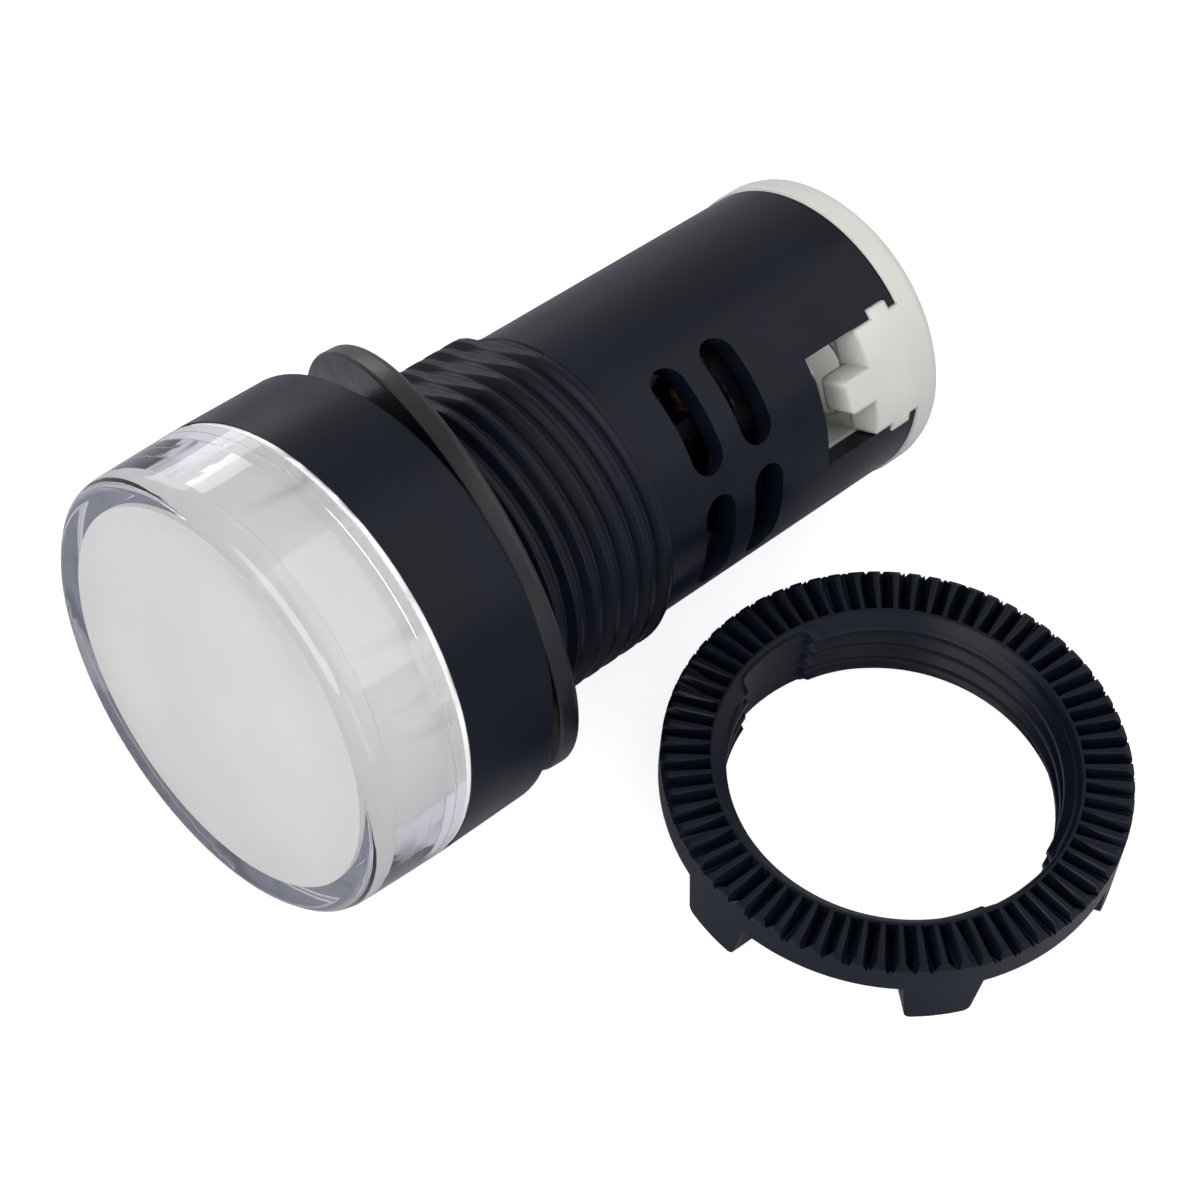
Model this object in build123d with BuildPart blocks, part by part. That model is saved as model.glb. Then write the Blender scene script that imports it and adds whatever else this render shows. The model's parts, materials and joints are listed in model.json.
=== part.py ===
# LED panel pilot light for a 22 mm panel hole, lying on a surface with its ring nut taken off.
# The origin is on the light's axis in the panel plane, where the gasket meets the panel.
# +Z is up, and the front of the light faces -Y. Stations along the axis count from the panel plane,
# positive towards the rear. Lengths are in millimetres and angles in degrees.
# The fine threads are left plain: the barrel and the nut's bore are cylinders over the crests.
import os
from math import asin, atan2, cos, degrees, hypot, radians, sin, sqrt, tan

from build123d import *

os.makedirs("parts", exist_ok=True)

# How the light lies
notch_roll = 60.3  # wire notch, from straight up towards +X
gasket_roll = 42.6  # where the loose gasket touches the collar, from straight up towards +X
gasket_skew = 14.3  # the gasket against the collar

# Fits between pieces
slip_gap = 0.1  # a moulding that slides into another
board_gap = 0.2  # a board in its pocket or bore
plate_gap = 0.2  # a metal plate in its chamber
pin_gap = 0.05  # a pin in its hole
screw_gap = 0.05  # a screw in its tapped hole
washer_gap = 0.08  # a screw in its washer
head_gap = 0.4  # a screw head in its well
stretch_gap = 0.02  # the skewed gasket on the barrel

# Housing
collar_radius = 14.5
collar_length = 6.7
collar_edge = 0.4
collar_wall = 1.3
pocket_depth = 5.0
barrel_radius = 10.9  # over the thread
barrel_length = 12.2  # panel plane to the end of the thread
barrel_chamfer = 0.5
land_length = 1.0  # plain part of the barrel behind the panel plane
flat_depth = 0.6  # flats on the barrel, along the mould's parting line
body_step = 0.74  # the body is this much smaller in radius than the barrel
body_wall = 1.46
body_length = 34.8  # panel plane to the rear end

# Cooling slots, two rows of pairs on both sides
slot_length = 7.15
slot_width = 2.5
slot_bridge = 1.77  # between the rows
slot_shift = 0.5  # forward of the middle between thread and notch
slot_angle = 24.8  # each side of the notch

# Lens and diffuser
lens_rise = 6.9  # above the collar
lens_round = 0.9
lens_draft = 0.2  # the lens is this much smaller in radius at its front
lens_wall = 1.0
lens_side = 2.1
diffuser_wall = 1.0
diffuser_front = 1.2
flange_thickness = 0.4  # white edge that shows between lens and collar
flange_inset = 0.1  # from the collar's edge

# Gasket
gasket_inset = 0.3  # from the collar's edge
gasket_thickness = 1.5
gasket_edge = 0.3

# Ring nut
nut_gap = 0.68  # beside the body
nut_y = 17.6
nut_turn = 5.2  # first lug, from +Y towards +X
nut_relief_turn = 86.2  # middle of one smooth stretch, from the first lug towards +X
nut_height = 5.65
nut_flange = 2.3
nut_thread = 0.5  # the bore is this much smaller in radius than the barrel
nut_wall = 2.0
nut_mouth = 1.0  # chamfer at the serrated face, across and deep
nut_mouth_depth = 0.9
nut_exit = 0.6  # chamfer at the lugs' end of the bore
nut_bevel = 0.4  # bevel at the rim, across and deep
nut_bevel_drop = 0.2
nut_relief_width = 5.75
nut_relief_depth = 0.7
rib_count = 70
groove_inset = 0.15  # from the mouth
groove_width = 0.8
groove_depth = 0.8
lug_count = 6
lug_depth = 2.2
lug_width = 5.1
lug_tip_width = 4.0
lug_corner = 0.5

# Terminal block
cap_lip = 0.14  # past the body
cap_thickness = 2.3
cap_round = 0.9
plug_length = 12.0
plug_floor = 2.6
barrier = 1.6  # wall between the two chambers
well_wall = 1.0
well_step = 0.4  # the chamber is this much wider than the well all round
well_depth = 6.1
tip_radius = 1.8  # hole that takes the screw's tip
notch_margin = 0.125  # the notch is this much wider than the chamber on each side
notch_sill = 1.0  # above the chamber's floor
tongue_length = 4.0
tongue_root = 1.0  # how far the tongue reaches into the plug
finger_length = 2.25
finger_width = 2.3
finger_corner = 0.4
finger_clear = 0.5  # from the washer
latch_length = 1.6
latch_depth = 0.6
latch_inset = 0.8  # from the body's rear end

# Terminals
plate_thickness = 1.2
tail_width = 2.0
tail_thickness = 0.8
tail_reach = 2.6  # out of the block's front end
washer_thickness = 0.8
screw_radius = 1.45
screw_length = 4.4
head_height = 2.1
head_edge = 0.5
recess_width = 0.8
recess_inset = 1.1  # from the head's edge
recess_depth = 1.1

# Lamp board
board_thickness = 1.2
led_count = 6
led_circle = 6.8
led_length = 3.5
led_width = 2.8
led_height = 1.3

# Driver board and what it carries
driver_drop = 2.4  # axis to the face that carries the tall parts
driver_clear = 1.9  # from the solder tails
pin_pitch = 2.54
pin_side = 0.64
pin_proud = 0.5
pin_overlap = 4.0  # along the driver board
part_gap = 1.1  # between parts on the board
film_width = 9.0
film_height = 6.0
film_length = 6.0
film_edge = 0.6
can_radius = 2.5
can_length = 4.5
can_edge = 0.4
can_x = -3.0
diode_length = 2.2
diode_width = 1.6
diode_height = 1.2
diode_pitch_across = 2.2
diode_pitch_along = 2.7
diode_x = 2.5
resistor_radius = 1.0
resistor_length = 5.0
resistor_pitch = 3.4
lead_side = 0.5
lead_reach = 1.0  # lead showing at each end of a part
wire_radius = 0.6
wire_bend = 1.6
wire_solder = 2.0  # length along the solder tail
wire_inset = 1.0  # from the driver board's side
wire_overlap = 2.5  # along the driver board

# Radii that follow from the sizes above
pocket_radius = collar_radius - collar_wall
body_radius = barrel_radius - body_step
bore_radius = body_radius - body_wall
flat_distance = barrel_radius - flat_depth
cavity_radius = collar_radius - lens_side
diffuser_radius = cavity_radius - slip_gap
flange_radius = collar_radius - flange_inset
skirt_radius = pocket_radius - slip_gap
gasket_radius = collar_radius - gasket_inset
skew = radians(gasket_skew)
gasket_bore = barrel_radius / cos(skew) + gasket_thickness / 2 * tan(skew) + stretch_gap
nut_bore = barrel_radius - nut_thread
nut_hub_radius = nut_bore + nut_wall
nut_radius = nut_hub_radius + lug_depth
nut_mouth_radius = nut_bore + nut_mouth
nut_face_radius = nut_radius - nut_bevel
nut_relief_radius = nut_bore + nut_relief_depth
groove_start = nut_mouth_radius + groove_inset
cap_radius = body_radius + cap_lip
plug_radius = bore_radius - slip_gap
well_radius = (plug_radius - well_wall - well_step - barrier / 2) / 2
head_radius = well_radius - head_gap

# Widths and offsets across the axis
terminal_offset = barrier / 2 + well_step + well_radius  # axis to each screw
chamber_width = 2 * (well_radius + well_step)
plate_side = chamber_width - 2 * plate_gap
washer_side = 2 * well_radius
notch_width = chamber_width + 2 * notch_margin
tongue_width = notch_width - 2 * slip_gap
tongue_inner = plug_radius - tongue_root
finger_inner = terminal_offset + washer_side / 2 + finger_clear
tail_x = terminal_offset - plate_side / 2 + tail_thickness / 2
recess_length = 2 * (head_radius - recess_inset)
driver_underside = driver_drop + board_thickness
driver_half = sqrt((bore_radius - board_gap) ** 2 - driver_underside**2)
film_side = sqrt((bore_radius - board_gap) ** 2 - (film_height - driver_drop) ** 2)

# Stations along the axis
collar_rear = -gasket_thickness
collar_front = collar_rear - collar_length
pocket_floor = collar_front + pocket_depth
led_board_front = pocket_floor - board_thickness
lens_front = collar_front - lens_rise
diffuser_start = lens_front + lens_wall
flange_front = collar_front - flange_thickness
cap_rear = body_length + cap_thickness
plug_start = body_length - plug_length
plate_start = plug_start + plug_floor
seat = plate_start + plate_thickness  # where the clamp washers rest
chamber_end = cap_rear - well_depth
notch_start = plate_start + notch_sill
tongue_start = body_length - tongue_length
finger_start = tongue_start - finger_length
latch_start = body_length - latch_inset - latch_length
slot_middle = (barrel_length + notch_start) / 2 - slot_shift
tail_start = plug_start - tail_reach
driver_end = tail_start - driver_clear
film_start = pocket_floor + part_gap
can_start = film_start + film_length + part_gap

# The light rests on its gasket and on its rounded rear edge.
# Both meet the surface together at one lean of the axis, found by repeating these lines.
gasket_station = collar_rear + gasket_radius * sin(skew) + gasket_thickness / 2 * cos(skew)
rest_length = cap_rear - cap_round - gasket_station
rest_span = hypot(rest_length, cap_radius - cap_round)
lean = 0.0
for step in range(12):
    gasket_tilt = sin(skew) * cos(radians(gasket_roll)) * cos(lean) - cos(skew) * sin(lean)
    gasket_reach = gasket_radius * sqrt(1 - gasket_tilt**2) + gasket_thickness / 2 * abs(gasket_tilt)
    lean = asin((gasket_reach - cap_round) / rest_span) - atan2(cap_radius - cap_round, rest_length)
floor = -gasket_station * sin(lean) - gasket_reach
print(f"lean {degrees(lean):.3f} degrees, surface at {floor:.3f} mm")

# Planes of the light: square to its axis, through axis and notch, and facing the notch
axis_way = Vector(0, cos(lean), -sin(lean))
upright = Vector(0, sin(lean), cos(lean))
notch_way = upright * cos(radians(notch_roll)) + Vector(1, 0, 0) * sin(radians(notch_roll))
light = Plane(origin=(0, 0, 0), x_dir=notch_way, z_dir=axis_way)
lengthways = Plane(origin=(0, 0, 0), x_dir=light.x_dir, z_dir=-light.y_dir)
facing_notch = Plane(origin=(0, 0, 0), x_dir=light.y_dir, z_dir=light.x_dir)
light_axis = Axis((0, 0, 0), light.z_dir)


def round_of_cones(centre, radius, first):
    # An edge round as three short cones, because a torus takes thousands of facets
    turns = [radians(first + step * 30) for step in range(4)]
    return [(centre[0] + radius * cos(a), centre[1] + radius * sin(a)) for a in turns]


# Housing: collar, barrel and slotted body in one moulding
with BuildPart() as housing:
    with BuildSketch(lengthways):
        with BuildLine():
            Polyline(
                (pocket_radius, collar_front),
                (collar_radius, collar_front),
                (collar_radius, collar_rear - collar_edge),
                (collar_radius - collar_edge, collar_rear),
                (barrel_radius, collar_rear),
                (barrel_radius, barrel_length - barrel_chamfer),
                (body_radius, barrel_length),
                (body_radius, body_length),
                (bore_radius, body_length),
                (bore_radius, pocket_floor),
                (pocket_radius, pocket_floor),
                close=True,
            )
        make_face()
    revolve(axis=light_axis)
    # Flats where the two halves of the mould part
    with BuildSketch(light.offset(land_length)):
        with PolarLocations(flat_distance, 2, start_angle=90):
            Rectangle(flat_depth, 2 * barrel_radius, align=(Align.MIN, Align.CENTER))
    extrude(amount=barrel_length - land_length, mode=Mode.SUBTRACT)
    # Cooling slots, cut through both sides at once
    for side in (-1, 1):
        slot_plane = Plane(
            origin=(0, 0, 0),
            x_dir=light.y_dir.rotate(light_axis, side * slot_angle),
            z_dir=light.x_dir.rotate(light_axis, side * slot_angle),
        )
        with BuildSketch(slot_plane):
            with Locations((0, slot_middle)):
                with GridLocations(0, slot_width + slot_bridge, 1, 2):
                    SlotOverall(slot_length, slot_width)
        extrude(amount=barrel_radius, both=True, mode=Mode.SUBTRACT)
    # Wire notches with latch pockets, open at the rear end
    with BuildSketch(facing_notch):
        with Locations((0, notch_start)):
            Rectangle(notch_width, body_length, align=(Align.CENTER, Align.MIN))
        with Locations((0, latch_start - slip_gap)):
            Rectangle(
                notch_width + 2 * latch_depth,
                latch_length + 2 * slip_gap,
                align=(Align.CENTER, Align.MIN),
            )
    extrude(amount=barrel_radius, both=True, mode=Mode.SUBTRACT)
housing.part.label = "housing"
export_step(housing.part, "parts/housing.step")

# Lens: clear cap that is bonded to the diffuser's flange
lens_edge_radius = collar_radius - lens_draft
lens_edge = (lens_edge_radius - lens_round, lens_front + lens_round)
with BuildPart() as lens:
    with BuildSketch(lengthways):
        with BuildLine():
            Polyline(
                (0, lens_front),
                (0, diffuser_start),
                (cavity_radius, diffuser_start),
                (cavity_radius, flange_front),
                (collar_radius, flange_front),
                *reversed(round_of_cones(lens_edge, lens_round, -90)),
                close=True,
            )
        make_face()
    revolve(axis=light_axis)
lens.part.label = "lens"
export_step(lens.part, "parts/lens.step")

# Diffuser: white cup that fills the lens, with a flange on the collar and a skirt in its pocket
with BuildPart() as diffuser:
    with BuildSketch(lengthways):
        with BuildLine():
            Polyline(
                (0, diffuser_start),
                (diffuser_radius, diffuser_start),
                (diffuser_radius, flange_front),
                (flange_radius, flange_front),
                (flange_radius, collar_front),
                (skirt_radius, collar_front),
                (skirt_radius, led_board_front),
                (diffuser_radius - diffuser_wall, led_board_front),
                (diffuser_radius - diffuser_wall, diffuser_start + diffuser_front),
                (0, diffuser_start + diffuser_front),
                close=True,
            )
        make_face()
    revolve(axis=light_axis)
diffuser.part.label = "diffuser"
export_step(diffuser.part, "parts/diffuser.step")

# Gasket: loose rubber washer, skewed on the barrel and touching the collar at one place
touch_way = upright * cos(radians(gasket_roll)) + Vector(1, 0, 0) * sin(radians(gasket_roll))
gasket_way = axis_way * cos(skew) + touch_way * sin(skew)
gasket_plane = Plane(
    origin=light.offset(gasket_station).origin,
    x_dir=axis_way.cross(touch_way),
    z_dir=gasket_way,
)
with BuildPart() as gasket:
    with BuildSketch(gasket_plane):
        Circle(gasket_radius)
        Circle(gasket_bore, mode=Mode.SUBTRACT)
    extrude(amount=gasket_thickness / 2, both=True)
    rim_edges = gasket.edges().filter_by(GeomType.CIRCLE).group_by(SortBy.RADIUS)[-1]
    chamfer(rim_edges.sort_by(Axis((0, 0, 0), gasket_way))[-1], length=gasket_edge)
gasket.part.label = "gasket"
export_step(gasket.part, "parts/gasket.step")

# Ring nut: serrated flange, threaded hub and grip lugs, face up
nut_centre = (body_radius + nut_gap + nut_radius, nut_y, floor + nut_height)
nut_axis = Axis(nut_centre, (0, 0, 1))
nut_plane = Plane(
    origin=nut_centre,
    x_dir=(sin(radians(nut_turn)), cos(radians(nut_turn)), 0),
    z_dir=(0, 0, 1),
)
nut_section = Plane(origin=nut_centre, x_dir=nut_plane.x_dir, z_dir=-nut_plane.y_dir)
with BuildPart() as lug_ring:
    for turn in range(lug_count):
        lug_way = nut_plane.x_dir.rotate(nut_axis, turn * 360 / lug_count)
        lug_plane = Plane(origin=nut_centre, x_dir=(0, 0, 1), z_dir=lug_way).offset(nut_bore)
        with BuildSketch(lug_plane):
            with BuildLine():
                Polyline(
                    (-nut_flange + groove_depth, lug_width / 2),
                    (-nut_height, lug_tip_width / 2),
                    (-nut_height, -lug_tip_width / 2),
                    (-nut_flange + groove_depth, -lug_width / 2),
                    close=True,
                )
            lug_outline = make_face()
            fillet(lug_outline.vertices().group_by(nut_axis)[0], lug_corner)
        extrude(amount=nut_radius)
    with BuildSketch(nut_plane.offset(-nut_height)):
        Circle(nut_radius)
        Circle((nut_relief_radius + nut_hub_radius) / 2, mode=Mode.SUBTRACT)
    extrude(amount=nut_height, mode=Mode.INTERSECT)
with BuildPart() as ring_nut:
    with BuildSketch(nut_section):
        with BuildLine():
            Polyline(
                (nut_mouth_radius, 0),
                (nut_face_radius, 0),
                (nut_radius, -nut_bevel_drop),
                (nut_radius, -nut_flange),
                (nut_hub_radius, -nut_flange),
                (nut_hub_radius, -nut_height),
                (nut_bore + nut_exit, -nut_height),
                (nut_bore, -nut_height + nut_exit),
                (nut_bore, -nut_mouth_depth),
                close=True,
            )
        make_face()
    revolve(axis=nut_axis)
    add(lug_ring.part)
    # Smooth stretches where the internal thread is cut away
    with BuildSketch(nut_plane.rotated((0, 0, -nut_relief_turn))):
        Circle(nut_relief_radius)
        Rectangle(2 * nut_relief_radius, nut_relief_width, mode=Mode.INTERSECT)
    extrude(amount=-nut_height, mode=Mode.SUBTRACT)
    # Serrations: one groove, then the ring of them
    groove_plane = Plane(origin=nut_centre, x_dir=nut_plane.y_dir, z_dir=nut_plane.x_dir)
    with BuildPart(mode=Mode.PRIVATE) as groove:
        with BuildSketch(groove_plane.offset(groove_start)):
            with BuildLine():
                Polyline((-groove_width / 2, 0), (groove_width / 2, 0), (0, -groove_depth), close=True)
            make_face()
        extrude(amount=nut_radius)
    for turn in range(rib_count):
        add(groove.part.rotate(nut_axis, turn * 360 / rib_count), mode=Mode.SUBTRACT)
ring_nut.part.label = "ring_nut"
export_step(ring_nut.part, "parts/ring_nut.step")

# Terminal block: plug, rear cap and a forked tongue for each wire notch
with BuildPart() as tongue:
    with BuildSketch(facing_notch.offset(tongue_inner)):
        with Locations((0, tongue_start)):
            Rectangle(tongue_width, tongue_length, align=(Align.CENTER, Align.MIN))
        with Locations((0, latch_start)):
            Rectangle(tongue_width + 2 * latch_depth, latch_length, align=(Align.CENTER, Align.MIN))
    extrude(amount=cap_radius - tongue_inner)
    with BuildSketch(facing_notch.offset(finger_inner)):
        with Locations((0, finger_start)):
            finger = Rectangle(finger_width, finger_length, align=(Align.CENTER, Align.MIN))
        fillet(finger.vertices().group_by(light_axis)[0], finger_corner)
    extrude(amount=cap_radius - finger_inner)
    with BuildSketch(light.offset(plug_start)):
        Circle(cap_radius)
    extrude(amount=plug_length, mode=Mode.INTERSECT)
cap_edge = (cap_radius - cap_round, cap_rear - cap_round)
with BuildPart() as terminal_block:
    with BuildSketch(lengthways):
        with BuildLine():
            Polyline(
                (0, cap_rear),
                (0, plug_start),
                (plug_radius, plug_start),
                (plug_radius, body_length),
                (cap_radius, body_length),
                *round_of_cones(cap_edge, cap_round, 0),
                close=True,
            )
        make_face()
    revolve(axis=light_axis)
    # Chambers open to the notches, screw wells open to the rear
    with BuildSketch(light.offset(plate_start)):
        for side in (-1, 1):
            with Locations((side * (barrier + cap_radius) / 2, 0)):
                Rectangle(cap_radius, chamber_width)
    extrude(amount=chamber_end - plate_start, mode=Mode.SUBTRACT)
    with BuildSketch(light.offset(chamber_end)):
        with Locations((-terminal_offset, 0), (terminal_offset, 0)):
            Circle(well_radius)
    extrude(amount=well_depth, mode=Mode.SUBTRACT)
    # Holes in the chamber floors for the screw tips and the solder tails
    with BuildSketch(light.offset(plug_start)):
        with Locations((-terminal_offset, 0), (terminal_offset, 0)):
            Circle(tip_radius)
        with Locations((-tail_x, 0), (tail_x, 0)):
            Rectangle(tail_thickness + 2 * slip_gap, tail_width + 2 * slip_gap)
    extrude(amount=plug_floor, mode=Mode.SUBTRACT)
    add(tongue.part)
    add(tongue.part.rotate(light_axis, 180))
terminal_block.part.label = "terminal_block"
export_step(terminal_block.part, "parts/terminal_block.step")

# Terminals, one on each side of the barrier, with the wire to each
for side, name in ((-1, "left"), (1, "right")):
    # Plate: tapped for the screw, with a solder tail through the block's floor
    with BuildPart() as terminal_plate:
        with BuildSketch(light.offset(plate_start)):
            with Locations((side * terminal_offset, 0)):
                Rectangle(plate_side, plate_side)
                Circle(screw_radius + screw_gap, mode=Mode.SUBTRACT)
        extrude(amount=plate_thickness)
        with BuildSketch(light.offset(tail_start)):
            with Locations((side * tail_x, 0)):
                Rectangle(tail_thickness, tail_width)
        extrude(amount=plate_start - tail_start)
    terminal_plate.part.label = f"terminal_plate_{name}"
    export_step(terminal_plate.part, f"parts/terminal_plate_{name}.step")

    # Clamp washer: square, so that the chamber keeps it from turning
    with BuildPart() as clamp_washer:
        with BuildSketch(light.offset(seat)):
            with Locations((side * terminal_offset, 0)):
                Rectangle(washer_side, washer_side)
                Circle(screw_radius + washer_gap, mode=Mode.SUBTRACT)
        extrude(amount=washer_thickness)
    clamp_washer.part.label = f"clamp_washer_{name}"
    export_step(clamp_washer.part, f"parts/clamp_washer_{name}.step")

    # Screw: pan head with a cross recess
    with BuildPart(light.offset(seat + washer_thickness)) as terminal_screw:
        with Locations((side * terminal_offset, 0)):
            head = Cylinder(head_radius, head_height, align=(Align.CENTER, Align.CENTER, Align.MIN))
            chamfer(head.edges().filter_by(GeomType.CIRCLE).sort_by(light_axis)[-1], length=head_edge)
            Cylinder(screw_radius, screw_length, align=(Align.CENTER, Align.CENTER, Align.MAX))
        with Locations((side * terminal_offset, 0, head_height)):
            for across, along in ((recess_length, recess_width), (recess_width, recess_length)):
                Box(
                    across,
                    along,
                    recess_depth,
                    align=(Align.CENTER, Align.CENTER, Align.MAX),
                    mode=Mode.SUBTRACT,
                )
    terminal_screw.part.label = f"terminal_screw_{name}"
    export_step(terminal_screw.part, f"parts/terminal_screw_{name}.step")

    # Wire: along the solder tail, then down to the driver board
    wire_x = tail_x + tail_thickness / 2 + wire_radius
    wire_landing_x = driver_half - wire_inset
    wire_origin = light.from_local_coords(Vector(side * wire_x, 0, 0))
    wire_landing = light.from_local_coords(Vector(side * wire_landing_x, wire_radius - driver_drop, 0))
    wire_side = wire_landing - wire_origin
    wire_plane = Plane(origin=wire_origin, x_dir=wire_side, z_dir=wire_side.cross(light.z_dir))
    with BuildPart() as lead_wire:
        with BuildLine(wire_plane) as wire_path:
            FilletPolyline(
                (0, tail_start + wire_solder),
                (0, tail_start),
                (wire_side.length, driver_end - wire_overlap),
                radius=wire_bend,
            )
        with BuildSketch(Plane(origin=wire_path.line @ 0, z_dir=wire_path.line % 0)):
            Circle(wire_radius)
        sweep(path=wire_path.line)
    lead_wire.part.label = f"lead_wire_{name}"
    export_step(lead_wire.part, f"parts/lead_wire_{name}.step")

# Lamp board: round board on the collar's pocket floor
pin_y = -driver_underside - pin_side / 2
with BuildPart() as led_board:
    with BuildSketch(light.offset(led_board_front)):
        Circle(pocket_radius - board_gap)
        with Locations((0, pin_y)):
            with GridLocations(pin_pitch, 0, 2, 1):
                Rectangle(pin_side + 2 * pin_gap, pin_side + 2 * pin_gap, mode=Mode.SUBTRACT)
    extrude(amount=board_thickness)
led_board.part.label = "led_board"
export_step(led_board.part, "parts/led_board.step")

# Lamps: one in the middle and a ring of them, facing the lens
with BuildPart() as leds:
    with BuildSketch(light.offset(led_board_front)):
        Rectangle(led_length, led_width)
        with PolarLocations(led_circle, led_count):
            Rectangle(led_length, led_width)
    extrude(amount=-led_height)
leds.part.label = "leds"
export_step(leds.part, "parts/leds.step")

# Pins that join the two boards
with BuildPart() as board_pins:
    with BuildSketch(light.offset(led_board_front - pin_proud)):
        with Locations((0, pin_y)):
            with GridLocations(pin_pitch, 0, 2, 1):
                Rectangle(pin_side, pin_side)
    extrude(amount=pin_proud + board_thickness + pin_overlap)
board_pins.part.label = "board_pins"
export_step(board_pins.part, "parts/board_pins.step")

# Driver board: along the axis, square to the lamp board
with BuildPart() as driver_board:
    with BuildSketch(light.offset(pocket_floor)):
        with Locations((0, -driver_drop)):
            Rectangle(2 * driver_half, board_thickness, align=(Align.CENTER, Align.MAX))
    extrude(amount=driver_end - pocket_floor)
driver_board.part.label = "driver_board"
export_step(driver_board.part, "parts/driver_board.step")

# Dropper capacitor: film capacitor in a box
with BuildPart() as dropper_capacitor:
    with BuildSketch(light.offset(film_start)):
        with Locations((-film_side, -driver_drop)):
            box_face = Rectangle(film_width, film_height, align=(Align.MIN, Align.MIN))
        chamfer(box_face.vertices().group_by(Axis((0, 0, 0), light.y_dir))[-1], film_edge)
    extrude(amount=film_length)
dropper_capacitor.part.label = "dropper_capacitor"
export_step(dropper_capacitor.part, "parts/dropper_capacitor.step")

# Smoothing capacitor: can lying on the board
with BuildPart(light.offset(can_start)) as smoothing_capacitor:
    with Locations((can_x, can_radius - driver_drop)):
        can = Cylinder(can_radius, can_length, align=(Align.CENTER, Align.CENTER, Align.MIN))
    chamfer(can.edges().filter_by(GeomType.CIRCLE), length=can_edge)
smoothing_capacitor.part.label = "smoothing_capacitor"
export_step(smoothing_capacitor.part, "parts/smoothing_capacitor.step")

# Rectifier diodes: four flat packages beside the can
diode_middle = can_start + (diode_pitch_along + diode_length) / 2
with BuildPart(light.offset(diode_middle)) as rectifier_diodes:
    for along in (-diode_pitch_along / 2, diode_pitch_along / 2):
        with Locations((diode_x, -driver_drop, along)):
            with GridLocations(diode_pitch_across, 0, 2, 1):
                Box(
                    diode_width,
                    diode_height,
                    diode_length,
                    align=(Align.CENTER, Align.MIN, Align.CENTER),
                )
rectifier_diodes.part.label = "rectifier_diodes"
export_step(rectifier_diodes.part, "parts/rectifier_diodes.step")

# Resistors: side by side under the board, behind the pins
resistor_start = pocket_floor + pin_overlap + part_gap
for side, name in ((-1, "bleed_resistor"), (1, "series_resistor")):
    resistor_x = side * resistor_pitch / 2
    with BuildPart(light.offset(resistor_start)) as resistor:
        with Locations((resistor_x, -driver_underside - resistor_radius)):
            Box(
                lead_side,
                lead_side,
                resistor_length + 2 * lead_reach,
                align=(Align.CENTER, Align.CENTER, Align.MIN),
            )
        with Locations((resistor_x, -driver_underside - resistor_radius, lead_reach)):
            Cylinder(resistor_radius, resistor_length, align=(Align.CENTER, Align.CENTER, Align.MIN))
    resistor.part.label = name
    export_step(resistor.part, f"parts/{name}.step")
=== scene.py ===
# Dresses the panel pilot light: bevelled and threaded meshes for the pieces that show, a material for each
# piece, and the photograph's camera on a pale floor under soft light.
import json
from math import atan2, ceil, cos, hypot, pi, radians, sin

import bmesh
import bpy
from mathutils import Matrix, Vector, noise


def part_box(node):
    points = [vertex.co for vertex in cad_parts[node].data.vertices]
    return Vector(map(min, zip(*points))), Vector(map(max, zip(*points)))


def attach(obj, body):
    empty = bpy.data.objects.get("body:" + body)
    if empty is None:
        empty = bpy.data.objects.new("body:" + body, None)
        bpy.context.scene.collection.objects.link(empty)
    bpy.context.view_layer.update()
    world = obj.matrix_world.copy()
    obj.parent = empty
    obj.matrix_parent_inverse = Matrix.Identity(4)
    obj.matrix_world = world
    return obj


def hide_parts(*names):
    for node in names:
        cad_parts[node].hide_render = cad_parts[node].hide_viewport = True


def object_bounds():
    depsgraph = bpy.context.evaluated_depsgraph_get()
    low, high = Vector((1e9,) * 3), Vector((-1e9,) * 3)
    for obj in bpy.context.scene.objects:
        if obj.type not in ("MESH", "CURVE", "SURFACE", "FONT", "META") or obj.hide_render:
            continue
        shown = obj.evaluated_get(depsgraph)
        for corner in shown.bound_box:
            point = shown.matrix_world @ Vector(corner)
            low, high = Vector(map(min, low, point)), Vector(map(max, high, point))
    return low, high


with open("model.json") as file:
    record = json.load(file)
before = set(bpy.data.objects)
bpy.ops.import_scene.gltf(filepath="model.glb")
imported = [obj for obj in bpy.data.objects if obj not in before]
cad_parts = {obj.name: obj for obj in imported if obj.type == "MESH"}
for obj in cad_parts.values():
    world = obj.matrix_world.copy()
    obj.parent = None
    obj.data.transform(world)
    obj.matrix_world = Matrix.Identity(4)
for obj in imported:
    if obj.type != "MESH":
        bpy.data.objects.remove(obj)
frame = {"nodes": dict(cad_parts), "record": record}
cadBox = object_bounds()
print("frame loaded:", len(frame["nodes"]), "nodes")

mm = 0.001
near = 0.02  # mm, how far a point may lie off a surface and still count as on it

# The light's own frame: millimetres, x to the wire notch, z along the axis to the rear, 0 at the panel
notchRoll = radians(60.3)  # from straight up towards +X, as the notch lies in the photograph
barrelMount = next(m for m in frame["record"]["mounts"] if m["name"] == "barrel")
axisWay = Vector(barrelMount["axis"]).normalized()
upWay = Vector((0, -axisWay.z, axisWay.y))
notchWay = upWay * cos(notchRoll) + Vector((1, 0, 0)) * sin(notchRoll)
lightTurn = Matrix((notchWay, axisWay.cross(notchWay), axisWay)).transposed()
lightFrame = lightTurn.to_4x4() @ Matrix.Scale(mm, 4)

# The ring nut's frame: millimetres, z up, 0 in its serrated face
nutLow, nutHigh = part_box("ring_nut")
nutCentre = Vector(((nutLow.x + nutHigh.x) / 2, (nutLow.y + nutHigh.y) / 2, nutHigh.z))
nutFrame = Matrix.Translation(nutCentre) @ Matrix.Scale(mm, 4)
floorLevel = cadBox[0][2]


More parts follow.
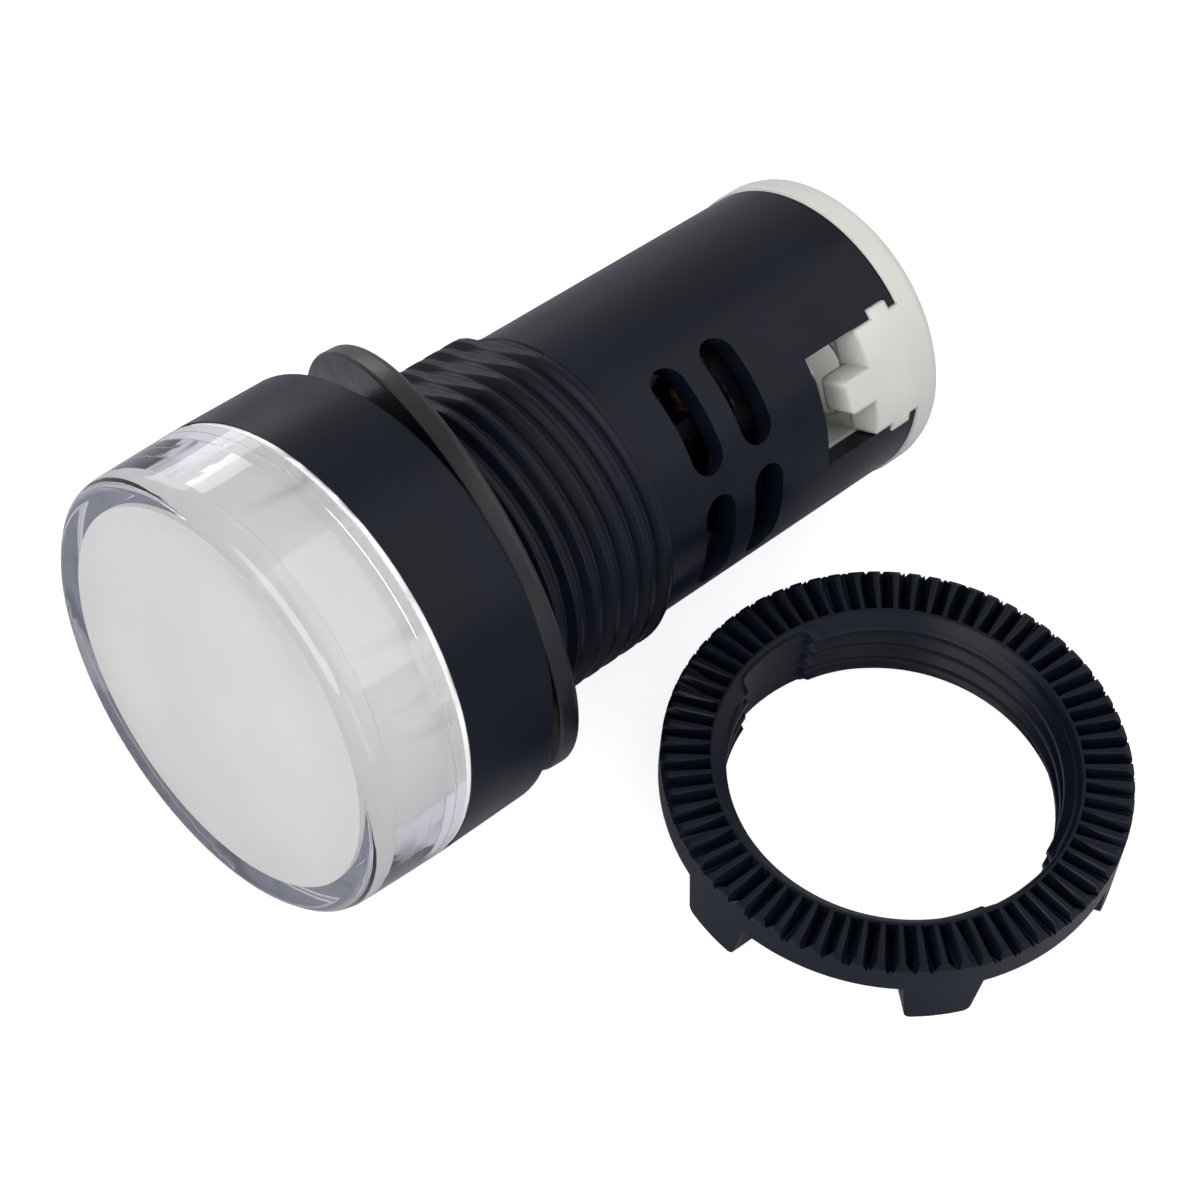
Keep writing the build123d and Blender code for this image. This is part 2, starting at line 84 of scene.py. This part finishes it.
def copyOfNode(nodeName, ownFrame):
    # a node's mesh is loose triangles, so its copy is merged and its flat faces joined
    mergeGap = 0.003  # mm
    flatAngle = 0.5  # degrees
    bm = bmesh.new()
    bm.from_mesh(frame["nodes"][nodeName].data)
    bmesh.ops.transform(bm, matrix=ownFrame.inverted(), verts=bm.verts)
    bmesh.ops.remove_doubles(bm, verts=bm.verts, dist=mergeGap)
    bmesh.ops.dissolve_limit(bm, angle_limit=radians(flatAngle), verts=bm.verts, edges=bm.edges)
    return bm


def sharpEdges(bm, angle):
    return [e for e in bm.edges if e.is_manifold and e.calc_face_angle() > radians(angle)]


def roundEdges(bm, edges, width, segments=2):
    bmesh.ops.bevel(
        bm, geom=edges, offset=width, offset_type="OFFSET", affect="EDGES",
        segments=segments, profile=0.5, material=-1, clamp_overlap=True,
    )


def openFaces(bm, isGone):
    # takes out the faces whose corners all pass the test, which leaves open loops
    gone = [f for f in bm.faces if all(isGone(hypot(v.co.x, v.co.y), v.co.z) for v in f.verts)]
    bmesh.ops.delete(bm, geom=gone, context="FACES")


def threadBand(thread):
    # one pitch of the profile swept along the helix, merged turn to turn and trimmed square at both ends
    mergeGap = 0.001  # mm
    pitch = thread["pitch"]
    base = thread["crestAt"] - pitch * ceil((thread["crestAt"] - thread["start"]) / pitch + 1)
    turns = ceil((thread["end"] - base) / pitch) + 1
    bm = bmesh.new()
    row = []
    for share, height in thread["profile"]:
        radius = thread["root"] + (thread["crest"] - thread["root"]) * height
        way = radians(thread["crestTurn"])
        row.append(bm.verts.new((radius * cos(way), radius * sin(way), base + pitch * share)))
    line = [bm.edges.new(pair) for pair in zip(row, row[1:])]
    bmesh.ops.spin(
        bm, geom=row + line, cent=(0, 0, 0), axis=(0, 0, 1), dvec=(0, 0, pitch / thread["steps"]),
        angle=2 * pi * turns, steps=thread["steps"] * turns,
    )
    bmesh.ops.remove_doubles(bm, verts=bm.verts, dist=mergeGap)
    for station, way in ((thread["start"], -1), (thread["end"], 1)):
        everything = bm.verts[:] + bm.edges[:] + bm.faces[:]
        bmesh.ops.bisect_plane(
            bm, geom=everything, plane_co=(0, 0, station), plane_no=(0, 0, way), clear_outer=True
        )
    return bm


def joinBand(bm, band, seams):
    # brings the band into the piece and closes each pair of open loops
    bandMesh = bpy.data.meshes.new("band")
    band.to_mesh(bandMesh)
    band.free()
    bm.from_mesh(bandMesh)
    bpy.data.meshes.remove(bandMesh)
    for seam in seams:
        loops = [
            e for e in bm.edges
            if e.is_boundary and all(min(abs(v.co.z - s) for s in seam) < near for v in e.verts)
        ]
        bmesh.ops.bridge_loops(bm, edges=loops)
    bmesh.ops.recalc_face_normals(bm, faces=bm.faces)


def roundNormals(piece, ownFrame, radii):
    # faces on a turned surface take its own normals, so that cut-outs leave no streaks in the gloss
    facesOut = 0.9  # cosine to the radius from which a face counts as part of the turned surface
    evened = piece.evaluated_get(bpy.context.evaluated_depsgraph_get())
    normals = [n.vector.copy() for n in evened.data.corner_normals]
    mesh = piece.data
    toOwn = ownFrame.inverted()
    for face in mesh.polygons:
        points = [toOwn @ mesh.vertices[v].co for v in face.vertices]
        ways = [(ownFrame.to_3x3() @ Vector((p.x, p.y, 0))).normalized() for p in points]
        turned = any(all(abs(hypot(p.x, p.y) - r) < near for p in points) for r in radii)
        if turned and face.normal.dot(ways[0]) > facesOut:
            for loop, way in zip(face.loop_indices, ways):
                normals[loop] = way
    piece.modifiers.clear()
    mesh.normals_split_custom_set(normals)


def newPiece(name, bm, ownFrame, body, nodeName, material, sharpAngle=35):
    # a piece with no node of its own hides no node and takes the finish it is given
    bmesh.ops.transform(bm, matrix=ownFrame, verts=bm.verts)
    mesh = bpy.data.meshes.new(name)
    bm.to_mesh(mesh)
    bm.free()
    mesh.polygons.foreach_set("use_smooth", [True] * len(mesh.polygons))
    mesh.set_sharp_from_angle(angle=radians(sharpAngle))
    mesh.materials.append(material)
    piece = bpy.data.objects.new(name, mesh)
    bpy.context.scene.collection.objects.link(piece)
    normals = piece.modifiers.new("evenNormals", "WEIGHTED_NORMAL")
    normals.keep_sharp = True
    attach(piece, body)
    if nodeName:
        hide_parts(nodeName)
    print(name, "made:", len(mesh.polygons), "faces")
    return piece


# Materials


def colour(hexText):
    # sRGB hex to linear
    channels = [int(hexText[i : i + 2], 16) / 255 for i in (1, 3, 5)]
    return [c / 12.92 if c <= 0.04045 else ((c + 0.055) / 1.055) ** 2.4 for c in channels] + [1.0]


def addNode(tree, kind, settings=None, inputs=None):
    node = tree.nodes.new(kind)
    for name, value in (settings or {}).items():
        setattr(node, name, value)
    for name, value in (inputs or {}).items():
        if isinstance(value, bpy.types.NodeSocket):
            tree.links.new(value, node.inputs[name])
        else:
            node.inputs[name].default_value = value
    return node


def newFinish(name, look):
    # patches shift colour and gloss slowly over the surface, and a fine grain roughens it
    patchEnds = (0.35, 0.65)
    material = bpy.data.materials.new(name)
    material.use_nodes = True
    tree = material.node_tree
    shader = tree.nodes["Principled BSDF"]
    for socket, value in look["sockets"].items():
        shader.inputs[socket].default_value = value
    place = addNode(tree, "ShaderNodeTexCoord").outputs["Object"]
    patches = addNode(
        tree, "ShaderNodeTexNoise", None,
        {"Vector": place, "Scale": 1 / (look["patch"] * mm), "Detail": 3.0},
    )
    tint = addNode(tree, "ShaderNodeValToRGB", None, {"Fac": patches.outputs["Fac"]})
    for element, position, hexText in zip(tint.color_ramp.elements, patchEnds, look["colours"]):
        element.position = position
        element.color = colour(hexText)
    tree.links.new(tint.outputs["Color"], shader.inputs["Base Color"])
    gloss = addNode(
        tree, "ShaderNodeMapRange", None,
        {
            "Value": patches.outputs["Fac"], "From Min": patchEnds[0], "From Max": patchEnds[1],
            "To Min": look["rough"][0], "To Max": look["rough"][1],
        },
    )
    tree.links.new(gloss.outputs["Result"], shader.inputs["Roughness"])
    grain = addNode(
        tree, "ShaderNodeTexNoise", None,
        {"Vector": place, "Scale": 1 / (look["grain"] * mm), "Detail": 2.0},
    )
    relief = addNode(
        tree, "ShaderNodeBump", None,
        {"Height": grain.outputs["Fac"], "Strength": 1.0, "Distance": look["relief"] * mm},
    )
    if "soften" in look:
        # a softer edge in the shading, for a moulding with corners that are rounder than their bevels
        soft = addNode(tree, "ShaderNodeBevel", {"samples": 8}, {"Radius": look["soften"] * mm})
        tree.links.new(soft.outputs["Normal"], relief.inputs["Normal"])
    tree.links.new(relief.outputs["Normal"], shader.inputs["Normal"])
    return material


# Nylon from a spark-eroded mould: near black with a blue cast, grey only where the lamp glances off it
blackNylon = newFinish("blackNylonMoulded", {
    "colours": ("#090D17", "#0E121D"), "patch": 9.0, "rough": (0.27, 0.38), "grain": 0.3, "relief": 0.004,
    "sockets": {"Specular IOR Level": 0.13},
})
# Polycarbonate from a polished mould: water clear, it bends what lies behind and greys at its edges
clearPolycarbonate = newFinish("clearPolycarbonate", {
    "colours": ("#FBFBFC", "#FDFDFE"), "patch": 12.0, "rough": (0.01, 0.03), "grain": 4.0, "relief": 0.01,
    "sockets": {"Transmission Weight": 1.0, "IOR": 1.585},
})
# Opal polycarbonate: milky warm white, matt, with cloudy flow marks
opalPolycarbonate = newFinish("opalPolycarbonate", {
    "colours": ("#F3F4EF", "#F8F8F4"), "patch": 7.0, "rough": (0.45, 0.55), "grain": 0.3, "relief": 0.003,
    "sockets": {"Specular IOR Level": 0.3},
})
# Painted shade: a grey film with a violet cast, seen through the lens wall as its grey border
lensBorderShade = newFinish("lensBorderShade", {
    "colours": ("#74778A", "#80839A"), "patch": 3.0, "rough": (0.3, 0.45), "grain": 0.5, "relief": 0.004,
    "sockets": {"Specular IOR Level": 0.3},
})
# Nitrile rubber, die cut: dull black with a broad sheen and a coarse pressed skin
nitrileRubber = newFinish("nitrileRubber", {
    "colours": ("#080A0F", "#0D0F14"), "patch": 3.0, "rough": (0.26, 0.38), "grain": 0.25, "relief": 0.006,
    "sockets": {"Specular IOR Level": 0.4},
})
# Glass-filled polyester: ivory white with a slight green cast and a soft gloss
ivoryPolyester = newFinish("ivoryPolyester", {
    "colours": ("#BFC1B9", "#C8CAC3"), "patch": 6.0, "rough": (0.36, 0.46), "grain": 0.25, "relief": 0.004,
    "soften": 0.4, "sockets": {"Specular IOR Level": 0.4},
})
# Stamped brass: yellow metal, dulled in patches by handling
stampedBrass = newFinish("stampedBrass", {
    "colours": ("#B08D4A", "#CBAA66"), "patch": 2.0, "rough": (0.25, 0.45), "grain": 0.15, "relief": 0.004,
    "sockets": {"Metallic": 1.0},
})
# Zinc-plated steel: pale bluish metal with a soft cloudy shine
zincPlatedSteel = newFinish("zincPlatedSteel", {
    "colours": ("#A9ACAB", "#C4C7C4"), "patch": 1.5, "rough": (0.28, 0.42), "grain": 0.12, "relief": 0.003,
    "sockets": {"Metallic": 1.0},
})
# White solder mask: clean and bright so that the lamp board throws light forward
whiteSolderMask = newFinish("whiteSolderMask", {
    "colours": ("#E4E6E2", "#EEF0EC"), "patch": 4.0, "rough": (0.3, 0.4), "grain": 0.4, "relief": 0.004,
    "sockets": {"Specular IOR Level": 0.5},
})
# Phosphor gel in the lamp packages: waxy yellow
phosphorGel = newFinish("phosphorGel", {
    "colours": ("#E3CF6A", "#EEDD84"), "patch": 1.2, "rough": (0.3, 0.4), "grain": 0.2, "relief": 0.004,
    "sockets": {"Specular IOR Level": 0.5},
})
# Black solder mask: glossy near black, faintly rippled by the weave of the board; its black is also
# painted shade behind the vent slots
blackMaskAndSlotShade = newFinish("blackMaskAndSlotShade", {
    "colours": ("#06080A", "#0A0D0E"), "patch": 3.0, "rough": (0.25, 0.35), "grain": 0.5, "relief": 0.006,
    "sockets": {"Specular IOR Level": 0.4},
})
# Flame-retardant case of the film capacitor: dark grey, fine matt; the dark grey is also painted shade
# behind the vent slots
filmCaseResin = newFinish("filmCaseResin", {
    "colours": ("#0C0D0F", "#121416"), "patch": 4.0, "rough": (0.45, 0.6), "grain": 0.2, "relief": 0.004,
    "sockets": {"Specular IOR Level": 0.3},
})
# Shrink sleeve of the can: blue black and smooth
canSleeve = newFinish("canSleeve", {
    "colours": ("#07090F", "#0B0E16"), "patch": 3.0, "rough": (0.2, 0.3), "grain": 0.8, "relief": 0.006,
    "sockets": {"Specular IOR Level": 0.5},
})
# Moulding compound of the diodes: dull charcoal
diodeCompound = newFinish("diodeCompound", {
    "colours": ("#0B0B0C", "#111112"), "patch": 1.0, "rough": (0.5, 0.62), "grain": 0.1, "relief": 0.004,
    "sockets": {"Specular IOR Level": 0.3},
})
# Lacquer of the resistors: slate blue with runs in its gloss
resistorLacquer = newFinish("resistorLacquer", {
    "colours": ("#33424B", "#3F505A"), "patch": 1.5, "rough": (0.25, 0.4), "grain": 0.4, "relief": 0.01,
    "sockets": {"Specular IOR Level": 0.5},
})
# Tinned brass of the pins: soft silvery metal
tinnedBrass = newFinish("tinnedBrass", {
    "colours": ("#B9B6AB", "#CCC9BF"), "patch": 0.8, "rough": (0.25, 0.4), "grain": 0.1, "relief": 0.003,
    "sockets": {"Metallic": 1.0},
})
# Potting resin: glossy black epoxy that lies in low waves
pottingResin = newFinish("pottingResin", {
    "colours": ("#05070A", "#080A0E"), "patch": 2.0, "rough": (0.12, 0.22), "grain": 0.6, "relief": 0.03,
    "sockets": {"Specular IOR Level": 0.4},
})
# PVC of the wires: black, waxy, with fine lines from the die
wireInsulation = newFinish("wireInsulation", {
    "colours": ("#0A0B0D", "#101214"), "patch": 2.0, "rough": (0.35, 0.45), "grain": 0.3, "relief": 0.006,
    "sockets": {"Specular IOR Level": 0.4},
})
innerFinishes = {
    stampedBrass: ("terminal_plate_left", "terminal_plate_right"),
    zincPlatedSteel: (
        "clamp_washer_left", "clamp_washer_right", "terminal_screw_left", "terminal_screw_right",
    ),
    whiteSolderMask: ("led_board",),
    phosphorGel: ("leds",),
    blackMaskAndSlotShade: ("driver_board",),
    filmCaseResin: ("dropper_capacitor",),
    canSleeve: ("smoothing_capacitor",),
    diodeCompound: ("rectifier_diodes",),
    resistorLacquer: ("bleed_resistor", "series_resistor"),
    tinnedBrass: ("board_pins",),
    wireInsulation: ("lead_wire_left", "lead_wire_right"),
}
for finish, nodeNames in innerFinishes.items():
    for nodeName in nodeNames:
        mesh = frame["nodes"][nodeName].data
        mesh.materials.clear()
        mesh.materials.append(finish)
print("materials made")

# Thread of a 22 mm panel light: shares of one pitch from crest to crest, and heights from root to crest
threadProfile = (
    (0.0, 1.0), (0.12, 1.0), (0.19, 0.9), (0.34, 0.1), (0.41, 0.0),
    (0.59, 0.0), (0.66, 0.1), (0.81, 0.9), (0.88, 1.0), (1.0, 1.0),
)

# Housing: collar, threaded barrel and slotted body
housing = {
    "edge": 0.15, "sharp": 30, "collarRadius": 14.5, "collarRear": -1.5,
    "barrelRadius": 10.9, "bodyStart": 12.2, "bodyRadius": 10.16, "flat": 10.3,
    "landEnd": 1.0, "runOut": 0.6, "chamferStart": 11.7,
    "thread": {
        "profile": threadProfile, "pitch": 1.5, "crest": 10.9, "root": 10.2, "steps": 96,
        "start": 0.9, "end": 12.1, "crestAt": 3.8, "crestTurn": -28.0,
    },
}
bm = copyOfNode("housing", lightFrame)
openFaces(
    bm,
    lambda r, z: housing["bodyRadius"] - near < r < housing["barrelRadius"] + near
    and housing["collarRear"] - near < z < housing["bodyStart"] + near,
)
roundEdges(bm, sharpEdges(bm, housing["sharp"]), housing["edge"])
band = threadBand(housing["thread"])
chamferHeight = housing["barrelRadius"] - housing["bodyRadius"]
chamferSlope = chamferHeight / (housing["bodyStart"] - housing["chamferStart"])
for v in band.verts:
    radius = hypot(v.co.x, v.co.y)
    # the groove runs out towards the plain land, and the chamfer and the flats trim the crests
    fade = min(max((housing["landEnd"] + housing["runOut"] - v.co.z) / housing["runOut"], 0), 1)
    wanted = radius + (housing["barrelRadius"] - radius) * fade
    wanted = min(wanted, housing["barrelRadius"] - max(v.co.z - housing["chamferStart"], 0) * chamferSlope)
    v.co.x *= wanted / radius
    v.co.y *= wanted / radius
    if v.co.z > housing["landEnd"]:
        v.co.y = min(max(v.co.y, -housing["flat"]), housing["flat"])
joinBand(
    bm, band,
    (
        (housing["collarRear"], housing["thread"]["start"]),
        (housing["bodyStart"], housing["thread"]["end"]),
    ),
)
shell = newPiece("housingShell", bm, lightFrame, "light", "housing", blackNylon)
roundNormals(shell, lightFrame, (housing["bodyRadius"], housing["collarRadius"]))

# Lens
lens = {"edge": 0.06, "sharp": 30}
bm = copyOfNode("lens", lightFrame)
roundEdges(bm, sharpEdges(bm, lens["sharp"]), lens["edge"], segments=3)
newPiece("lensCap", bm, lightFrame, "light", "lens", clearPolycarbonate)

# Diffuser, whose front end wets the lens, so it reaches a hair into the clear wall there
diffuser = {
    "edge": 0.1, "sharp": 30, "radius": 12.3, "front": -14.1, "flangeFront": -8.6, "film": 0.02,
    "wetEnds": (-13.0, -12.9), "wetSide": 0.12,
}
bm = copyOfNode("diffuser", lightFrame)
for station in diffuser["wetEnds"]:
    everything = bm.verts[:] + bm.edges[:] + bm.faces[:]
    bmesh.ops.bisect_plane(bm, geom=everything, plane_co=(0, 0, station), plane_no=(0, 0, 1))
for v in bm.verts:
    radius = hypot(v.co.x, v.co.y)
    if abs(radius - diffuser["radius"]) < near and v.co.z < diffuser["wetEnds"][0] + near:
        v.co.xy *= (radius + diffuser["wetSide"]) / radius
    if abs(v.co.z - diffuser["front"]) < near:
        v.co.z -= diffuser["film"]
    if abs(v.co.z - diffuser["flangeFront"]) < near:
        v.co.z += diffuser["film"]
roundEdges(bm, sharpEdges(bm, diffuser["sharp"]), diffuser["edge"], segments=3)
newPiece("diffuserCup", bm, lightFrame, "light", "diffuser", opalPolycarbonate)

# Grey film between the lens and the diffuser's flange: painted shade that greys the lens border
shadeFilm = {"inner": 12.45, "outer": 14.25, "front": -8.597, "rear": -8.583, "steps": 96}
bm = bmesh.new()
corners = (
    (shadeFilm["inner"], shadeFilm["front"]), (shadeFilm["outer"], shadeFilm["front"]),
    (shadeFilm["outer"], shadeFilm["rear"]), (shadeFilm["inner"], shadeFilm["rear"]),
)
row = [bm.verts.new((r, 0, z)) for r, z in corners]
line = [bm.edges.new(pair) for pair in zip(row, row[1:] + row[:1])]
bmesh.ops.spin(
    bm, geom=row + line, cent=(0, 0, 0), axis=(0, 0, 1), angle=2 * pi, steps=shadeFilm["steps"], use_merge=True
)
bmesh.ops.recalc_face_normals(bm, faces=bm.faces)
newPiece("lensBorderShadeFilm", bm, lightFrame, "light", None, lensBorderShade)

# Potting resin over the solder tails, poured on the terminal block's inner face
resin = {
    "radius": 8.55, "back": 22.8, "depth": 1.0, "climb": 0.7, "climbWidth": 1.2,
    "swell": 0.25, "swellSize": 2.2, "rings": 18, "steps": 72,
}
bm = bmesh.new()
bmesh.ops.create_circle(bm, cap_ends=True, radius=resin["radius"], segments=resin["steps"])
middle = bmesh.ops.poke(bm, faces=bm.faces)["verts"][0]
bmesh.ops.subdivide_edges(bm, edges=middle.link_edges[:], cuts=resin["rings"], use_grid_fill=True)
bmesh.ops.translate(bm, vec=(0, 0, resin["back"] - resin["depth"]), verts=bm.verts)
back = bmesh.ops.extrude_face_region(bm, geom=bm.faces[:])
backVerts = [g for g in back["geom"] if isinstance(g, bmesh.types.BMVert)]
for v in bm.verts:
    # the resin creeps up the bore's wall and lies in low waves
    radius = hypot(v.co.x, v.co.y)
    climb = max(1 - (resin["radius"] - radius) / resin["climbWidth"], 0) ** 2 * resin["climb"]
    wave = noise.noise(v.co / resin["swellSize"]) * resin["swell"]
    v.co.z += wave - climb
for v in backVerts:
    v.co.z = resin["back"]
bmesh.ops.recalc_face_normals(bm, faces=bm.faces)
newPiece("pottingResin", bm, lightFrame, "light", None, pottingResin)

# Gasket
gasket = {"edge": 0.25, "sharp": 30}
bm = copyOfNode("gasket", lightFrame)
roundEdges(bm, sharpEdges(bm, gasket["sharp"]), gasket["edge"], segments=3)
newPiece("gasketRing", bm, lightFrame, "light", "gasket", nitrileRubber)

# Terminal block, with softer edges on the tongues that show in the notches
block = {
    "edge": 0.12, "sharp": 40,
    "tongueEdge": 0.3, "tongueSharp": 60, "tongueInner": 7.9, "tongueEnds": (28.0, 35.5), "shortest": 0.55,
}
bm = copyOfNode("terminal_block", lightFrame)
tongueEdges = [
    e for e in sharpEdges(bm, block["tongueSharp"])
    if e.calc_length() > block["shortest"]
    and all(hypot(v.co.x, v.co.y) > block["tongueInner"] for v in e.verts)
    and all(block["tongueEnds"][0] < v.co.z < block["tongueEnds"][1] for v in e.verts)
]
roundEdges(bm, tongueEdges, block["tongueEdge"], segments=3)
roundEdges(bm, sharpEdges(bm, block["sharp"]), block["edge"])
newPiece("terminalBlock", bm, lightFrame, "light", "terminal_block", ivoryPolyester)

# Ring nut: serrated flange with an internal thread that stops at two smooth stretches
nut = {
    "edge": 0.1, "sharp": 30, "ribEdge": 0.11, "ribLength": 1.0,
    "groove": -0.8, "grooveLength": 2.0, "grooveFloor": -1.0, "grooveRadius": 14.2, "grooveEnd": -0.22,
    "mouthRadius": 11.4, "mouthSlope": 1.0 / 0.9, "exitRadius": 11.0, "height": 5.65,
    "hubRadius": 12.4, "rimRadius": 14.6,
    "reliefRadius": 11.1, "reliefTurns": (-1.4, 178.6), "reliefHalf": 15.0,
    "thread": {
        "profile": threadProfile, "pitch": 1.5, "crest": 10.4, "root": 11.0, "steps": 144,
        "start": -5.6, "end": -0.05, "crestAt": -2.6, "crestTurn": 90.0,
    },
}
bm = copyOfNode("ring_nut", nutFrame)
openFaces(bm, lambda r, z: r < nut["mouthRadius"] + near)
# each groove ends in a short slope behind the rim, so the rim's outline stays round
grooveLines = [
    e for e in bm.edges
    if all(abs(v.co.z - nut["groove"]) < near for v in e.verts)
    and e.calc_length() > nut["grooveLength"]
]
for line in grooveLines:
    inner, outer = sorted(line.verts, key=lambda v: hypot(v.co.x, v.co.y))
    reach = hypot(outer.co.x, outer.co.y)
    share = (reach - nut["grooveRadius"]) / (reach - hypot(inner.co.x, inner.co.y))
    foot = bmesh.utils.edge_split(line, outer, share)[1]
    foot.co.z = nut["grooveFloor"]
    inner.co.z = nut["grooveFloor"]
    outer.co.z = nut["grooveEnd"]
    bmesh.ops.triangulate(bm, faces=foot.link_faces[:])
ribEdges = [
    e for e in sharpEdges(bm, nut["sharp"])
    if all(v.co.z > -near for v in e.verts)
    and abs(hypot(*e.verts[0].co.xy) - hypot(*e.verts[1].co.xy)) > nut["ribLength"]
]
roundEdges(bm, ribEdges, nut["ribEdge"], segments=3)
roundEdges(bm, sharpEdges(bm, nut["sharp"]), nut["edge"])
band = threadBand(nut["thread"])
for v in band.verts:
    radius = hypot(v.co.x, v.co.y)
    turn = atan2(v.co.y, v.co.x) * 180 / pi
    wanted = max(
        radius,
        nut["mouthRadius"] + v.co.z * nut["mouthSlope"],
        nut["exitRadius"] - (v.co.z + nut["height"]),
    )
    if any(abs((turn - middle + 180) % 360 - 180) < nut["reliefHalf"] for middle in nut["reliefTurns"]):
        wanted = max(wanted, nut["reliefRadius"])
    v.co.x *= wanted / radius
    v.co.y *= wanted / radius
joinBand(bm, band, ((-nut["height"], nut["thread"]["start"]), (0.0, nut["thread"]["end"])))
ring = newPiece("ringNut", bm, nutFrame, "light", "ring_nut", blackNylon)
roundNormals(ring, nutFrame, (nut["hubRadius"], nut["rimRadius"]))

# Camera, from the photograph's perspective
cameraAt = {
    "place": (82.51, -74.09, 151.08),  # mm
    "turn": (35.971, -2.889, 46.027),  # degrees
    "lens": 94.01,  # mm
    "film": 36.0,  # mm
    "nearest": 0.01,  # m
}
cameraData = bpy.data.cameras.new("camera")
cameraData.lens = cameraAt["lens"]
cameraData.sensor_width = cameraAt["film"]
cameraData.clip_start = cameraAt["nearest"]
camera = bpy.data.objects.new("camera", cameraData)
camera.location = Vector(cameraAt["place"]) * mm
camera.rotation_euler = [radians(a) for a in cameraAt["turn"]]
bpy.context.scene.collection.objects.link(camera)
bpy.context.scene.camera = camera

# Floor: grey to the lamps so that it throws little light up, white to the eye and dim through the lens,
# with the object's shadow
floorLook = {
    "size": 2.0, "paint": "#B2B3BA", "rough": 0.9, "light": "#FFFFFF", "glow": 0.8, "throughLens": 0.1,
}
bm = bmesh.new()
bmesh.ops.create_grid(bm, x_segments=1, y_segments=1, size=floorLook["size"] / 2)
bmesh.ops.translate(bm, vec=(0, 0, floorLevel), verts=bm.verts)
floorMesh = bpy.data.meshes.new("floor")
bm.to_mesh(floorMesh)
bm.free()
floor = bpy.data.objects.new("floor", floorMesh)
bpy.context.scene.collection.objects.link(floor)
floorPaint = bpy.data.materials.new("floorPaint")
floorPaint.use_nodes = True
tree = floorPaint.node_tree
shader = tree.nodes["Principled BSDF"]
shader.inputs["Base Color"].default_value = colour(floorLook["paint"])
shader.inputs["Roughness"].default_value = floorLook["rough"]
shader.inputs["Specular IOR Level"].default_value = 0.0
path = addNode(tree, "ShaderNodeLightPath")
dim = addNode(
    tree, "ShaderNodeMath", {"operation": "MULTIPLY"},
    {0: path.outputs["Is Transmission Ray"], 1: floorLook["throughLens"]},
)
glow = addNode(
    tree, "ShaderNodeMath", {"operation": "MULTIPLY_ADD"},
    {0: path.outputs["Is Camera Ray"], 1: floorLook["glow"], 2: dim.outputs["Value"]},
)
shader.inputs["Emission Color"].default_value = colour(floorLook["light"])
tree.links.new(glow.outputs["Value"], shader.inputs["Emission Strength"])
floorMesh.materials.append(floorPaint)

# Soft light: a pale sky all round, a key lamp behind on the nut's side, a small rim lamp low on the other
# side, a low lamp on the nut's side for the undersides and a broad fill in front of the lens
sky = {"colour": "#F1F2F4", "strength": 0.86}
world = bpy.data.worlds.new("studio")
bpy.context.scene.world = world
world.use_nodes = True
background = world.node_tree.nodes["Background"]
background.inputs["Color"].default_value = colour(sky["colour"])
background.inputs["Strength"].default_value = sky["strength"]
lamps = {
    "key": {"turn": 33.0, "rise": 44.0, "far": 0.75, "size": 0.95, "power": 1.9},
    "rim": {"turn": -68.0, "rise": 9.0, "far": 0.7, "size": 0.3, "power": 0.35},
    "side": {"turn": 108.0, "rise": 16.0, "far": 0.7, "size": 0.5, "power": 0.85},
    "fill": {"turn": 178.0, "rise": 28.0, "far": 0.7, "size": 0.7, "power": 4.0},
}
for name, lamp in lamps.items():
    turn, rise = radians(lamp["turn"]), radians(lamp["rise"])
    way = Vector((sin(turn) * cos(rise), cos(turn) * cos(rise), sin(rise)))
    lampData = bpy.data.lights.new(name, "AREA")
    lampData.shape = "DISK"
    lampData.size = lamp["size"]
    lampData.energy = lamp["power"]
    lampObject = bpy.data.objects.new(name, lampData)
    lampObject.location = way * lamp["far"]
    lampObject.rotation_euler = (-way).to_track_quat("-Z", "Y").to_euler()
    bpy.context.scene.collection.objects.link(lampObject)

bpy.context.scene.view_settings.view_transform = "Standard"
print("camera, floor and lamps set")
